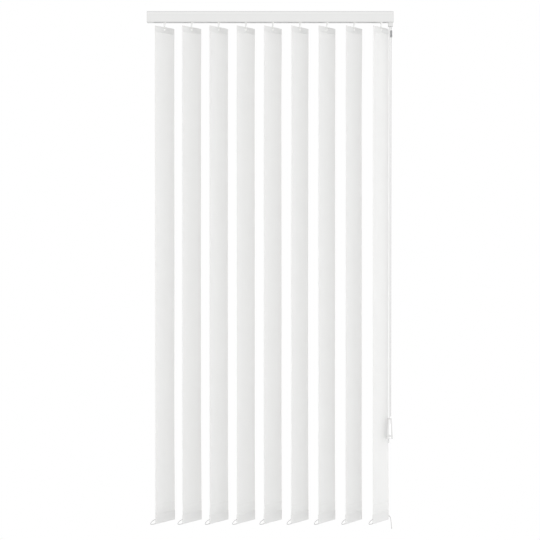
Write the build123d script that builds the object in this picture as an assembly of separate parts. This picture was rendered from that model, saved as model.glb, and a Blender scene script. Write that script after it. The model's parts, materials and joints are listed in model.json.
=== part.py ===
from build123d import *
import math
import os

# A vertical blind, in millimetres. X runs along the head rail, the room is on the -Y side and
# +Z is up. The origin is the middle of the ceiling plane that the rail is fixed to.

# ---- Driving dimensions -------------------------------------------------------------------
RAIL_LENGTH = 1060.0        # over both end caps
DROP = 2200.0               # ceiling to the bottom edge of the vanes
VANE_COUNT = 9
VANE_WIDTH = 127.0
FIRST_INSET = 75.5          # left end of the rail to the first stem
LAST_INSET = 52.5           # last stem to the right end
STACK_PITCH = 30.0          # between carriers when the blind is drawn back
REST_TURN = 53.0            # vanes from the rail's plane, left edge towards the room

# Head rail, an aluminium extrusion that is open below
RAIL_DEPTH = 42.0
RAIL_HEIGHT = 46.0
RAIL_WALL = 1.5
SLOT_WIDTH = 20.0
TOP_CHANNEL = 3.0           # recess over the web, where the ceiling clips grip
TOP_LIP = 1.2
TOP_LIP_REACH = 3.0
FACE_BAND_TOP = 4.0
FACE_BAND_HEIGHT = 8.0
FACE_BAND_DEPTH = 0.4

# End pieces
LEFT_FLANGE = 3.0
RIGHT_FLANGE = 5.0
CAP_BODY = 28.0             # how far each end piece goes into the rail
CAP_WALL = 2.0
CORNER_RADIUS = 1.5

# Ceiling clips
CLIP_LENGTH = 40.0
CLIP_SHEET = 1.2
CLIP_SPACING = 800.0
SCREW_HOLE = 4.5

# Carriers, which glide on the lips of the rail
CARRIER_LENGTH = 26.0
CARRIER_TOP = -11.0
CARRIER_FOOT = 1.7
FOOT_WIDTH = 7.0
WINDOW_WIDTH = 13.0
WINDOW_TOP = -12.6
WINDOW_HEIGHT = 9.0

# Spacer strips, each at its own height
STRIP_WIDTH = 8.0
STRIP_SHEET = 0.5
STRIP_STEP = 1.0
STRIP_HEAD_WIDTH = 16.0
STRIP_TAIL_WIDTH = 12.0
STRIP_HEAD = 1.0

# Tilt drive
DRIVE_HEIGHT = 14.5         # over the lips of the rail
DRIVE_DISTANCE = 9.5        # stem axis to tilt rod axis
ROD_SQUARE = 3.6
ROD_CORNER = 0.4
WORM_RADIUS = 4.2
WORM_LENGTH = 10.0
WORM_THREADS = 5
THREAD_DEPTH = 0.8
GEAR_TEETH = 12
GEAR_HEIGHT = 6.0
TOOTH_DEPTH = 1.1
TRANSFER_RADIUS = 4.6       # the pair of gears between chain wheel and tilt rod
TRANSFER_WIDTH = 5.0

# Stem and hook of a vane
STEM_DIAMETER = 8.0
PIVOT_DIAMETER = 5.0
PIVOT_HEIGHT = 2.7
HOOK_SHEET = 1.6
STEM_DROP = 12.0            # stem below the rail, before it becomes the hook

# Vane
VANE_GAP = 20.0             # rail to vane
FABRIC = 0.8
POCKET_SHEET = 0.5
POCKET_HEIGHT = 26.0
HANGER_SHEET = 1.2
HANGER_MARGIN = 6.5         # vane edge to hanger edge
EYE_SLACK = 1.0             # each side of the hook's blade
EYE_HEIGHT = 8.0
EYE_BAR = 5.0
WEIGHT_SHEET = 3.0
WEIGHT_HEIGHT = 38.0
WEIGHT_MARGIN = 6.5

# Chain loops at the bottom corners
LOOP_WIRE = 3.0
LOOP_REACH = 32.0
TAIL_DROP = 46.0

# Operating cord and chain
CORD_DIAMETER = 2.0
CORD_INSET = 15.5           # cord to the right end of the rail
CORD_Z = -8.0               # runs along the rail at this height
CORD_SPREAD = 9.0           # between the two strands
CORD_TURN = 6.0             # radius round the two pulleys at the control end
CHAIN_INSET = 8.0
BEAD_DIAMETER = 4.5
CHAIN_TURN = 6.0            # radius round the chain wheel
CHAIN_BOTTOM = -1742.0
SPOUT_HEIGHT = 18.0         # below the rail
SPOUT_WALL = 1.0
PULLEY_WIDTH = 4.0
PULLEY_FLANGE = 1.5         # flange beyond the cord's centre line
AXLE_DIAMETER = 3.0

# Pendant that keeps the pull cord taut
PENDANT_GAP = 11.0          # chain's lowest point to the pendant
PENDANT_HEIGHT = 88.0
PENDANT_TOP_SIZE = (19.0, 13.0)
PENDANT_MIDDLE_SIZE = (22.0, 14.6)
PENDANT_BOTTOM_SIZE = (30.0, 13.0)
PENDANT_PULLEY_DROP = 22.0
KNOT_DIAMETER = 7.0
KNOT_HEIGHT = 18.0

# Chain connector
CONNECTOR_DROP = 9.0        # below the spout
CONNECTOR_LENGTH = 39.0
CONNECTOR_WIDTH = 9.0
CONNECTOR_DEPTH = 6.0

# Clearances
RUN = 0.3                   # between bodies that pass each other
FIT = 0.05                  # radial, in a bearing
SEAT = 0.1                  # between pieces that are assembled and stay

# ---- Places that follow from the dimensions -------------------------------------------------
HALF_DEPTH = RAIL_DEPTH / 2
LEFT_END = -RAIL_LENGTH / 2
RIGHT_END = RAIL_LENGTH / 2
RAIL_LEFT = LEFT_END + LEFT_FLANGE
RAIL_RIGHT = RIGHT_END - RIGHT_FLANGE
WEB_TOP = -TOP_CHANNEL
WEB_BOTTOM = WEB_TOP - RAIL_WALL
LIP_TOP = -RAIL_HEIGHT + RAIL_WALL
INSIDE = HALF_DEPTH - RAIL_WALL
VANE_PITCH = (RAIL_LENGTH - FIRST_INSET - LAST_INSET) / (VANE_COUNT - 1)
VANE_X = [LEFT_END + FIRST_INSET + VANE_PITCH * i for i in range(VANE_COUNT)]
DRIVE_Z = LIP_TOP + DRIVE_HEIGHT
GEAR_RADIUS = DRIVE_DISTANCE - WORM_RADIUS - RUN
GEAR_TOP = DRIVE_Z + GEAR_HEIGHT / 2
GEAR_BOTTOM = DRIVE_Z - GEAR_HEIGHT / 2
HALF_CARRIER = CARRIER_LENGTH / 2
CARRIER_BOTTOM = LIP_TOP + RUN + CARRIER_FOOT
STEM_BOTTOM = -RAIL_HEIGHT - STEM_DROP
VANE_TOP = -RAIL_HEIGHT - VANE_GAP
POCKET_BOTTOM = VANE_TOP - POCKET_HEIGHT
EYE_WIDTH = STEM_DIAMETER + 2 * EYE_SLACK
VANE_BOTTOM = -DROP
CAP_LEFT_INNER = RAIL_LEFT + CAP_BODY
CAP_RIGHT_INNER = RAIL_RIGHT - CAP_BODY
IDLER_X = CAP_LEFT_INNER - 10.0
CORD_X = RIGHT_END - CORD_INSET
CHAIN_X = RIGHT_END - CHAIN_INSET
SPOUT_BOTTOM = -RAIL_HEIGHT - SPOUT_HEIGHT
PULLEY_X = CORD_X - CORD_TURN
PULLEY_Z = CORD_Z - CORD_TURN
STRAND = CORD_SPREAD / 2
PENDANT_TOP = CHAIN_BOTTOM - PENDANT_GAP
PENDANT_PULLEY_Z = PENDANT_TOP - PENDANT_PULLEY_DROP
PENDANT_BOTTOM = PENDANT_TOP - PENDANT_HEIGHT
GEAR_X = PULLEY_X


# ---- Helpers --------------------------------------------------------------------------------
def block(x0, x1, y0, y1, z0, z1):
    """A box between two corners."""
    middle = ((x0 + x1) / 2, (y0 + y1) / 2, (z0 + z1) / 2)
    return Pos(*middle) * Box(abs(x1 - x0), abs(y1 - y0), abs(z1 - z0))


def round_x(x0, x1, y, z, radius):
    """A cylinder along X."""
    return Pos((x0 + x1) / 2, y, z) * Rot(0, 90, 0) * Cylinder(radius, x1 - x0)


def round_y(x, y0, y1, z, radius):
    """A cylinder along Y."""
    return Pos(x, (y0 + y1) / 2, z) * Rot(90, 0, 0) * Cylinder(radius, y1 - y0)


def round_z(x, y, z0, z1, radius):
    """A cylinder along Z."""
    return Pos(x, y, (z0 + z1) / 2) * Cylinder(radius, z1 - z0)


def tube(path, radius):
    """A round bar along a path."""
    start = Plane(origin=path @ 0, z_dir=path % 0)
    bar = sweep(start * Circle(radius), path=path)
    print("tube: length", round(path.length, 1), "volume", round(bar.volume, 1),
          "section times length", round(math.pi * radius ** 2 * path.length, 1))
    return bar


def pulley(centre_line_radius, width, bore):
    """A grooved wheel about Z, whose groove holds the cord at the centre line radius."""
    cord = CORD_DIAMETER / 2 + SEAT / 2
    rim = centre_line_radius + PULLEY_FLANGE
    wheel = Cylinder(rim, width)
    groove = Cylinder(rim + 1, 2 * cord) - Cylinder(centre_line_radius, 2 * cord)
    ring = Torus(centre_line_radius, cord)
    wheel = wheel - groove - ring
    return wheel - Cylinder(bore, width)


# ---- Head rail and its ends -------------------------------------------------------------------
def head_rail():
    length = (RAIL_LEFT, RAIL_RIGHT)
    rail = block(*length, -HALF_DEPTH, HALF_DEPTH, -RAIL_HEIGHT, 0)
    rail = fillet(rail.edges().filter_by(Axis.X), CORNER_RADIUS / 2)
    rail -= block(*length, -INSIDE, INSIDE, LIP_TOP, WEB_BOTTOM)
    rail -= block(*length, -SLOT_WIDTH / 2, SLOT_WIDTH / 2, -RAIL_HEIGHT, LIP_TOP)
    open_top = HALF_DEPTH - TOP_LIP_REACH
    rail -= block(*length, -open_top, open_top, WEB_TOP, 0)
    rail -= block(*length, -INSIDE, INSIDE, WEB_TOP, -TOP_LIP)
    band = (-FACE_BAND_TOP - FACE_BAND_HEIGHT, -FACE_BAND_TOP)
    for side in (-1, 1):
        rail -= block(*length, side * HALF_DEPTH, side * (HALF_DEPTH - FACE_BAND_DEPTH), *band)
    return rail


def flange(x0, x1):
    plate = block(x0, x1, -HALF_DEPTH, HALF_DEPTH, -RAIL_HEIGHT, 0)
    return fillet(plate.edges().filter_by(Axis.X), CORNER_RADIUS)


def end_body(x0, x1):
    """The part of an end piece that pushes into the rail: a box with its inside open."""
    side = INSIDE - SEAT
    top = WEB_BOTTOM - SEAT
    bottom = LIP_TOP + SEAT
    body = block(x0, x1, -side, side, bottom, top)
    hollow = (-side + CAP_WALL, side - CAP_WALL, bottom + CAP_WALL, top - CAP_WALL / 2)
    return body, hollow


def end_cap():
    body, hollow = end_body(RAIL_LEFT, CAP_LEFT_INNER)
    body -= block(RAIL_LEFT, CAP_LEFT_INNER, *hollow)
    shelf_top = CORD_Z - PULLEY_WIDTH / 2 - RUN
    shelf = block(RAIL_LEFT, CAP_LEFT_INNER, hollow[0], hollow[1], shelf_top - CAP_WALL, shelf_top)
    pin = round_z(IDLER_X, 0, shelf_top, WEB_BOTTOM - SEAT, AXLE_DIAMETER / 2)
    wall_end = RAIL_LEFT + 4 * CAP_WALL
    bearing = block(RAIL_LEFT, wall_end, hollow[0], hollow[1], hollow[2], shelf_top)
    cap = flange(LEFT_END, RAIL_LEFT) + body + shelf + pin + bearing
    rod_hole = ROD_SQUARE / math.sqrt(2) + FIT
    return cap - round_x(RAIL_LEFT, wall_end, DRIVE_DISTANCE, DRIVE_Z, rod_hole)


def control_housing():
    body, hollow = end_body(CAP_RIGHT_INNER, RAIL_RIGHT)
    wall_end = CAP_RIGHT_INNER + CAP_WALL
    body -= block(wall_end, RAIL_RIGHT, *hollow)
    spout_x = (CORD_X - 7.0, RAIL_RIGHT + 2.0)
    half = SLOT_WIDTH / 2 - RUN
    spout = block(*spout_x, -half, half, SPOUT_BOTTOM, hollow[2])
    inner_x = (spout_x[0] + SPOUT_WALL, spout_x[1] - SPOUT_WALL)
    spout = fillet(spout.edges().filter_by(Axis.Z), CORNER_RADIUS / 2)
    axle_z = PULLEY_Z
    axle = round_y(PULLEY_X, hollow[0], hollow[1], axle_z, AXLE_DIAMETER / 2)
    housing = flange(RAIL_RIGHT, RIGHT_END) + body + spout + axle
    way = half - SPOUT_WALL
    housing -= block(inner_x[0], inner_x[1], -way, way, SPOUT_BOTTOM, hollow[2] + CAP_WALL)
    hub = AXLE_DIAMETER / 2 + FIT
    left = (CAP_RIGHT_INNER, wall_end)
    boss_end = wall_end + CAP_WALL
    housing += round_x(wall_end, boss_end, 0, DRIVE_Z, hub + CAP_WALL)
    housing -= round_x(CAP_RIGHT_INNER, boss_end, 0, DRIVE_Z, hub)
    housing -= round_x(RAIL_RIGHT, RAIL_RIGHT + RIGHT_FLANGE / 2, 0, DRIVE_Z, hub)
    rod_hole = ROD_SQUARE / math.sqrt(2) + FIT
    housing -= round_x(*left, DRIVE_DISTANCE, DRIVE_Z, rod_hole)
    for side in (-1, 1):
        housing -= round_x(*left, side * STRAND, CORD_Z, CORD_DIAMETER / 2 + SEAT)
    return housing


def ceiling_clips():
    """Two folded clips: the middle meets the ceiling, the wings sit under the rail's top lips."""
    clips = []
    shoulder = HALF_DEPTH - TOP_LIP_REACH - SEAT
    for side in (-1, 1):
        x = side * CLIP_SPACING / 2
        ends = (x - CLIP_LENGTH / 2, x + CLIP_LENGTH / 2)
        wing_top = -TOP_LIP - SEAT
        clip = block(*ends, -shoulder, shoulder, -CLIP_SHEET, 0)
        for edge in (-1, 1):
            inner = edge * (shoulder - CLIP_SHEET)
            clip += block(*ends, inner, edge * shoulder, wing_top - CLIP_SHEET, 0)
            clip += block(*ends, inner, edge * (INSIDE - SEAT), wing_top - CLIP_SHEET, wing_top)
        clip -= round_z(x, 0, -CLIP_SHEET, 0, SCREW_HOLE / 2)
        clips.append(clip)
    return Compound(clips)


# ---- Carriers, spacers and tilt drive -----------------------------------------------------------
def strip_height(index):
    return WINDOW_TOP - STRIP_STEP * (index - 0.5)


def spacer_strip(index):
    """The strip of carrier index, which reaches left through the window of the carrier before."""
    x = VANE_X[index]
    z = strip_height(index)
    low, high = z - STRIP_SHEET / 2, z + STRIP_SHEET / 2
    head = x + HALF_CARRIER
    tail = VANE_X[index - 1] - HALF_CARRIER - RUN
    strip = block(tail, head, -STRIP_WIDTH / 2, STRIP_WIDTH / 2, low, high)
    half_head = STRIP_HEAD_WIDTH / 2
    half_tail = STRIP_TAIL_WIDTH / 2
    strip += block(head, head + STRIP_HEAD, -half_head, half_head, low, high)
    strip += block(tail - STRIP_HEAD, tail, -half_tail, half_tail, low, high)
    return strip


def carrier(index):
    x = VANE_X[index]
    ends = (x - HALF_CARRIER, x + HALF_CARRIER)
    half = INSIDE - RUN
    body = block(*ends, -half, half, CARRIER_BOTTOM, CARRIER_TOP)
    body = fillet(body.edges().filter_by(Axis.Z), CORNER_RADIUS)
    for side in (-1, 1):
        foot = (side * half, side * (half - FOOT_WIDTH))
        body += block(x - HALF_CARRIER + CORNER_RADIUS, x + HALF_CARRIER - CORNER_RADIUS,
                      *foot, LIP_TOP + RUN, CARRIER_BOTTOM)
    window = (-WINDOW_WIDTH / 2, WINDOW_WIDTH / 2, WINDOW_TOP - WINDOW_HEIGHT, WINDOW_TOP)
    body -= block(*ends, *window)
    chamber = GEAR_RADIUS + RUN + FIT
    gear_room = (GEAR_BOTTOM - RUN, GEAR_TOP + RUN)
    body -= round_z(x, 0, *gear_room, chamber)
    body -= block(x - chamber, x + chamber, -half, 0, *gear_room)
    worm_room = WORM_RADIUS + RUN
    half_room = WORM_LENGTH / 2 + RUN
    body -= round_x(x - half_room, x + half_room, DRIVE_DISTANCE, DRIVE_Z, worm_room)
    body -= block(x - half_room, x + half_room, DRIVE_DISTANCE, half,
                  DRIVE_Z - worm_room, DRIVE_Z + worm_room)
    rod_way = ROD_SQUARE / math.sqrt(2) + RUN
    body -= round_x(*ends, DRIVE_DISTANCE, DRIVE_Z, rod_way)
    body -= round_z(x, 0, gear_room[1], gear_room[1] + PIVOT_HEIGHT, PIVOT_DIAMETER / 2 + FIT)
    body -= round_z(x, 0, CARRIER_BOTTOM, gear_room[0], STEM_DIAMETER / 2 + FIT)
    if index + 1 < VANE_COUNT:
        # Two small stops catch the tail of the next carrier's strip.
        z = strip_height(index + 1)
        for side in (-1, 1):
            body += block(ends[0], ends[0] + STRIP_HEAD, side * WINDOW_WIDTH / 2,
                          side * (STRIP_WIDTH / 2 + RUN), z - STRIP_SHEET / 2, z + STRIP_SHEET / 2)
    if index == 0:
        # The lead carrier grips the front strand of the pull cord.
        grip = block(x - 6, x + 6, -STRAND - 3, -STRAND + 3, CARRIER_TOP, WEB_BOTTOM - RUN)
        body += grip - round_x(x - 6, x + 6, -STRAND, CORD_Z, CORD_DIAMETER / 2 + RUN)
        return body
    return Compound([body, spacer_strip(index)])


def worm(index):
    """A worm with plain thread rings, about the tilt rod."""
    x = VANE_X[index]
    start = x - WORM_LENGTH / 2
    shape = round_x(start, start + WORM_LENGTH, DRIVE_DISTANCE, DRIVE_Z, WORM_RADIUS)
    pitch = WORM_LENGTH / WORM_THREADS
    for turn in range(WORM_THREADS):
        groove = start + (turn + 0.5) * pitch
        ends = (groove - pitch / 4, groove + pitch / 4)
        shape -= (round_x(*ends, DRIVE_DISTANCE, DRIVE_Z, WORM_RADIUS + 1)
                  - round_x(*ends, DRIVE_DISTANCE, DRIVE_Z, WORM_RADIUS - THREAD_DEPTH))
    bore = (ROD_SQUARE + 2 * SEAT) / 2
    return shape - block(start, start + WORM_LENGTH, DRIVE_DISTANCE - bore, DRIVE_DISTANCE + bore,
                         DRIVE_Z - bore, DRIVE_Z + bore)


def tilt_rod():
    half = ROD_SQUARE / 2
    end = CORD_X + 1.5
    rod = block(RAIL_LEFT + CAP_WALL, end, DRIVE_DISTANCE - half, DRIVE_DISTANCE + half,
                DRIVE_Z - half, DRIVE_Z + half)
    rod = fillet(rod.edges().filter_by(Axis.X), ROD_CORNER)
    ends = (GEAR_X - TRANSFER_WIDTH / 2, GEAR_X + TRANSFER_WIDTH / 2)
    return rod + round_x(*ends, DRIVE_DISTANCE, DRIVE_Z, TRANSFER_RADIUS)


def chain_wheel():
    """The wheel that the bead chain turns, with its hub and the gear that meets the rod's."""
    room = BEAD_DIAMETER / 2 + SEAT
    wall = 1.5
    rim = CHAIN_TURN + 1.6
    wheel = round_x(CHAIN_X - room - wall, CHAIN_X + room, 0, DRIVE_Z, rim)
    groove = (CHAIN_X - room, CHAIN_X + room)
    wheel -= round_x(*groove, 0, DRIVE_Z, rim) - round_x(*groove, 0, DRIVE_Z, CHAIN_TURN - room)
    hub = AXLE_DIAMETER / 2
    hub_start = CAP_RIGHT_INNER + SEAT
    wheel += round_x(hub_start, RAIL_RIGHT + RIGHT_FLANGE / 2 - SEAT, 0, DRIVE_Z, hub)
    gear_radius = DRIVE_DISTANCE - TRANSFER_RADIUS - RUN
    ends = (GEAR_X - TRANSFER_WIDTH / 2, GEAR_X + TRANSFER_WIDTH / 2)
    return wheel + round_x(*ends, 0, DRIVE_Z, gear_radius)


# ---- Vanes ----------------------------------------------------------------------------------
def hang(shape, index):
    """Puts a piece made about its own stem axis, flat in the XZ plane, where the vane hangs."""
    return Pos(VANE_X[index], 0, 0) * Rot(0, 0, REST_TURN) * shape


def vane_hook(index):
    gear = round_z(0, 0, GEAR_BOTTOM, GEAR_TOP, GEAR_RADIUS)
    for tooth in range(GEAR_TEETH):
        turn = 360 / GEAR_TEETH * tooth
        gear -= (Rot(0, 0, turn) * Pos(GEAR_RADIUS, 0, DRIVE_Z)
                 * Box(2 * TOOTH_DEPTH, TOOTH_DEPTH, GEAR_HEIGHT))
    stem = round_z(0, 0, STEM_BOTTOM, GEAR_BOTTOM, STEM_DIAMETER / 2)
    pivot = round_z(0, 0, GEAR_TOP, GEAR_TOP + PIVOT_HEIGHT, PIVOT_DIAMETER / 2)
    back = HANGER_SHEET / 2 + SEAT
    half = STEM_DIAMETER / 2
    bar_bottom = VANE_TOP - 1 - EYE_BAR
    toe = bar_bottom - SEAT - 2 * HOOK_SHEET
    blade = block(-half, half, back, back + HOOK_SHEET, toe, STEM_BOTTOM)
    sole = block(-half, half, -back - HOOK_SHEET, back, toe, toe + HOOK_SHEET)
    tip = block(-half, half, -back - HOOK_SHEET, -back, toe, bar_bottom)
    return hang(gear + stem + pivot + blade + sole + tip, index)


def vane_fabric(index):
    """The cloth: a flat strip with a flat pocket at the top and one at the bottom."""
    half = VANE_WIDTH / 2
    cloth = block(-half, half, -FABRIC / 2, FABRIC / 2, VANE_BOTTOM, VANE_TOP)
    slack = HANGER_SHEET / 2 + SEAT
    wall = slack + POCKET_SHEET
    cloth += block(-half, half, -wall, wall, POCKET_BOTTOM, VANE_TOP)
    cloth -= block(-half, half, -slack, slack, POCKET_BOTTOM + 1, VANE_TOP - POCKET_SHEET)
    notch = EYE_WIDTH / 2 + 2
    cloth -= block(-notch, notch, -wall, wall, VANE_TOP - EYE_BAR - EYE_HEIGHT - 3, VANE_TOP)
    weight_slack = WEIGHT_SHEET / 2 + SEAT
    weight_wall = weight_slack + POCKET_SHEET
    top = VANE_BOTTOM + WEIGHT_HEIGHT + 3
    cloth += block(-half, half, -weight_wall, weight_wall, VANE_BOTTOM, top)
    cloth -= block(-half, half, -weight_slack, weight_slack, VANE_BOTTOM + POCKET_SHEET, top - 1)
    return hang(cloth, index)


def chain_loop():
    """The loop of chain that hangs out past the front corner of a vane."""
    end = -VANE_WIDTH / 2 + WEIGHT_MARGIN - RUN
    out = -VANE_WIDTH / 2 - LOOP_REACH
    base = VANE_BOTTOM + POCKET_SHEET + SEAT + LOOP_WIRE / 2
    points = [(end, base + 19), (out + 16, base + 17), (out, base + 6), (out + 5, base), (end, base)]
    path = FilletPolyline(*[(x, 0, z) for x, z in points], radius=[16, 5, 2.6])
    return tube(path, LOOP_WIRE / 2)


def chain_tail():
    """The free end of the bottom chain, behind the last vane."""
    start = VANE_WIDTH / 2 - WEIGHT_MARGIN + RUN
    base = VANE_BOTTOM + WEIGHT_HEIGHT - 12
    points = [(start, base), (start + 16, base - 4), (start + 27, base - 24),
              (start + 32, VANE_BOTTOM - TAIL_DROP)]
    path = FilletPolyline(*[(x, 0, z) for x, z in points], radius=[14, 40])
    return tube(path, LOOP_WIRE / 2)


def vane_fittings(index):
    """Hanger plate in the top pocket, weight in the bottom one, and the chain loop."""
    half = VANE_WIDTH / 2 - HANGER_MARGIN
    top = VANE_TOP - 1
    bottom = POCKET_BOTTOM + 1 + SEAT
    hanger = block(-half, half, -HANGER_SHEET / 2, HANGER_SHEET / 2, bottom, top)
    eye = (top - EYE_BAR - EYE_HEIGHT, top - EYE_BAR)
    hanger -= block(-EYE_WIDTH / 2, EYE_WIDTH / 2, -HANGER_SHEET / 2, HANGER_SHEET / 2, *eye)
    half_weight = VANE_WIDTH / 2 - WEIGHT_MARGIN
    low = VANE_BOTTOM + POCKET_SHEET + SEAT
    weight = block(-half_weight, half_weight, -WEIGHT_SHEET / 2, WEIGHT_SHEET / 2,
                   low, low + WEIGHT_HEIGHT)
    weight = fillet(weight.edges().filter_by(Axis.X), WEIGHT_SHEET / 3)
    pieces = [hanger, weight, chain_loop()]
    if index + 1 == VANE_COUNT:
        pieces.append(chain_tail())
    return Compound([hang(piece, index) for piece in pieces])


# ---- Cords, chain and pendant -----------------------------------------------------------------
def inner_cord():
    """The cord inside the rail: from the spout over a pulley, round the idler and back."""
    far = IDLER_X
    near = PULLEY_X
    turn = CORD_TURN * math.sqrt(0.5)
    corner = (near + turn, PULLEY_Z + turn)
    route = []
    for side in (-1, 1):
        y = side * STRAND
        rise = Line((CORD_X, y, SPOUT_BOTTOM), (CORD_X, y, PULLEY_Z))
        over = ThreePointArc((CORD_X, y, PULLEY_Z), (corner[0], y, corner[1]), (near, y, CORD_Z))
        along = Line((near, y, CORD_Z), (far, y, CORD_Z))
        route.append([rise, over, along])
    bend = ThreePointArc((far, -STRAND, CORD_Z), (far - STRAND, 0, CORD_Z), (far, STRAND, CORD_Z))
    path = Wire([*route[0], bend, *reversed(route[1])])
    return tube(path, CORD_DIAMETER / 2)


def loop_path(x, spread, top, bottom):
    """Down the front strand, round the bottom and up the rear strand."""
    low = bottom + spread
    down = Line((x, -spread, top), (x, -spread, low))
    round_it = ThreePointArc((x, -spread, low), (x, 0, bottom), (x, spread, low))
    up = Line((x, spread, low), (x, spread, top))
    return [down, round_it, up]


def pull_cord():
    bottom = PENDANT_PULLEY_Z - STRAND
    return tube(Wire(loop_path(CORD_X, STRAND, SPOUT_BOTTOM, bottom)), CORD_DIAMETER / 2)


def bead_chain():
    """The endless chain as a plain tube of the beads' diameter."""
    edges = loop_path(CHAIN_X, CHAIN_TURN, DRIVE_Z, CHAIN_BOTTOM)
    over = ThreePointArc((CHAIN_X, CHAIN_TURN, DRIVE_Z), (CHAIN_X, 0, DRIVE_Z + CHAIN_TURN),
                         (CHAIN_X, -CHAIN_TURN, DRIVE_Z))
    open_part = tube(Wire(edges), BEAD_DIAMETER / 2)
    return open_part + tube(Wire([over]), BEAD_DIAMETER / 2)


def chain_connector():
    """The clip that joins the chain's ends, on the front strand."""
    top = SPOUT_BOTTOM - CONNECTOR_DROP
    z0 = top - CONNECTOR_LENGTH
    y = -CHAIN_TURN
    shape = block(CHAIN_X - CONNECTOR_WIDTH / 2, CHAIN_X + CONNECTOR_WIDTH / 2,
                  y - CONNECTOR_DEPTH / 2, y + CONNECTOR_DEPTH / 2, z0, top)
    shape = fillet(shape.edges(), CONNECTOR_DEPTH / 4)
    return shape - round_z(CHAIN_X, y, z0, top, BEAD_DIAMETER / 2 + SEAT)


def oval(size, z):
    return Pos(CORD_X, 0, z) * Ellipse(size[0] / 2, size[1] / 2)


def cord_pendant():
    """A hollow weight with a pulley inside, and the nub under it."""
    middle = PENDANT_PULLEY_Z
    outside = loft([oval(PENDANT_TOP_SIZE, PENDANT_TOP), oval(PENDANT_MIDDLE_SIZE, middle)])
    outside += loft([oval(PENDANT_MIDDLE_SIZE, middle), oval(PENDANT_BOTTOM_SIZE, PENDANT_BOTTOM)])
    nub_x = CORD_X - 4.0
    nub = round_z(nub_x, 0, PENDANT_BOTTOM - KNOT_HEIGHT, PENDANT_BOTTOM, KNOT_DIAMETER / 2)
    room = STRAND + PULLEY_FLANGE + RUN
    half_room = PULLEY_WIDTH / 2 + RUN
    hollow = round_x(CORD_X - half_room, CORD_X + half_room, 0, middle, room)
    way = STRAND + CORD_DIAMETER / 2 + RUN
    slot = block(CORD_X - CORD_DIAMETER / 2 - RUN, CORD_X + CORD_DIAMETER / 2 + RUN, -way, way,
                 middle, PENDANT_TOP)
    axle = round_x(CORD_X - half_room, CORD_X + half_room, 0, middle, AXLE_DIAMETER / 2)
    return outside + nub - hollow - slot + axle


def cord_pulley(side):
    wheel = pulley(CORD_TURN, PULLEY_WIDTH, AXLE_DIAMETER / 2 + FIT)
    return Pos(PULLEY_X, side * STRAND, PULLEY_Z) * Rot(90, 0, 0) * wheel


def idler_pulley():
    return Pos(IDLER_X, 0, CORD_Z) * pulley(STRAND, PULLEY_WIDTH, AXLE_DIAMETER / 2 + FIT)


def pendant_pulley():
    wheel = pulley(STRAND, PULLEY_WIDTH, AXLE_DIAMETER / 2 + FIT)
    return Pos(CORD_X, 0, PENDANT_PULLEY_Z) * Rot(0, 90, 0) * wheel


# ---- Writing the nodes ------------------------------------------------------------------------
os.makedirs("parts", exist_ok=True)

SINGLE = {
    "head_rail": head_rail,
    "end_cap": end_cap,
    "control_housing": control_housing,
    "ceiling_clips": ceiling_clips,
    "inner_cord": inner_cord,
    "pull_cord": pull_cord,
    "bead_chain": bead_chain,
    "chain_connector": chain_connector,
    "cord_pendant": cord_pendant,
    "pendant_pulley": pendant_pulley,
    "idler_pulley": idler_pulley,
    "tilt_rod": tilt_rod,
    "chain_wheel": chain_wheel,
}
REPEATED = {
    "carrier": carrier,
    "worm": worm,
    "vane_hook": vane_hook,
    "vane_fabric": vane_fabric,
    "vane_fittings": vane_fittings,
}

print("carriers travel", VANE_PITCH - STACK_PITCH, "each, the leading one",
      (VANE_PITCH - STACK_PITCH) * (VANE_COUNT - 1))
print("radii: pull cord", CORD_DIAMETER / 2, "bead chain", BEAD_DIAMETER / 2)

for name, make in SINGLE.items():
    export_step(make(), f"parts/{name}.step")
for name, side in (("front", -1), ("rear", 1)):
    export_step(cord_pulley(side), f"parts/cord_pulley_{name}.step")
for name, make in REPEATED.items():
    for index in range(VANE_COUNT):
        export_step(make(index), f"parts/{name}_{index + 1}.step")
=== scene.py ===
import json
import math

import bmesh
import bpy
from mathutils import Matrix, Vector, noise


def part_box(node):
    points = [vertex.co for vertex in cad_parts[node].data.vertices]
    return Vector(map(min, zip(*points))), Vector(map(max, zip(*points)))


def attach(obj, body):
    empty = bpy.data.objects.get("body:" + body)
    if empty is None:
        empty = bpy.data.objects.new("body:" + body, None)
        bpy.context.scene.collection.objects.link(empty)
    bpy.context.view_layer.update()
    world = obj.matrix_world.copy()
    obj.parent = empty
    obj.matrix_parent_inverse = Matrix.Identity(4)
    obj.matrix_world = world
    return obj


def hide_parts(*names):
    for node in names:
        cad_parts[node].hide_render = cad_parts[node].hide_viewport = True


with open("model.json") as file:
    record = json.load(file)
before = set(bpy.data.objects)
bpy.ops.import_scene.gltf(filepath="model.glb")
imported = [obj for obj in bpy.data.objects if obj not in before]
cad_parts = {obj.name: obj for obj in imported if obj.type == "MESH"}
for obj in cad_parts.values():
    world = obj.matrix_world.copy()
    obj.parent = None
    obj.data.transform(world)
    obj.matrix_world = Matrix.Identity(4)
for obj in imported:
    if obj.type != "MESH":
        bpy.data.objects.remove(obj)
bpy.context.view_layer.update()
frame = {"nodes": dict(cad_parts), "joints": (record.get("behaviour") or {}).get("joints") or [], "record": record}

# A vertical blind. Lengths here are in millimetres, and MM turns them into Blender's metres.
# A vane has its own directions: along its width from the room edge to the window edge,
# out from its face, and height, which is the same as Z.
MM = 0.001
VANES = range(1, 10)
TURN = math.radians(53.0)
HINGE = {joint["name"]: joint for joint in frame["joints"]}
VANE_X = {n: HINGE[f"tilt_{n}"]["pos_m"][0] for n in VANES}
VANE_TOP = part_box("vane_fabric_1")[1].z / MM
VANE_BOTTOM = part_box("vane_fabric_1")[0].z / MM
HALF_WIDTH = 63.5
POCKET = 26.0
HEM = 84.0
POCKET_LINE = VANE_TOP - POCKET
HEM_LINE = VANE_BOTTOM + HEM
WEIGHT_LINE = VANE_BOTTOM + 41.0
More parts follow.
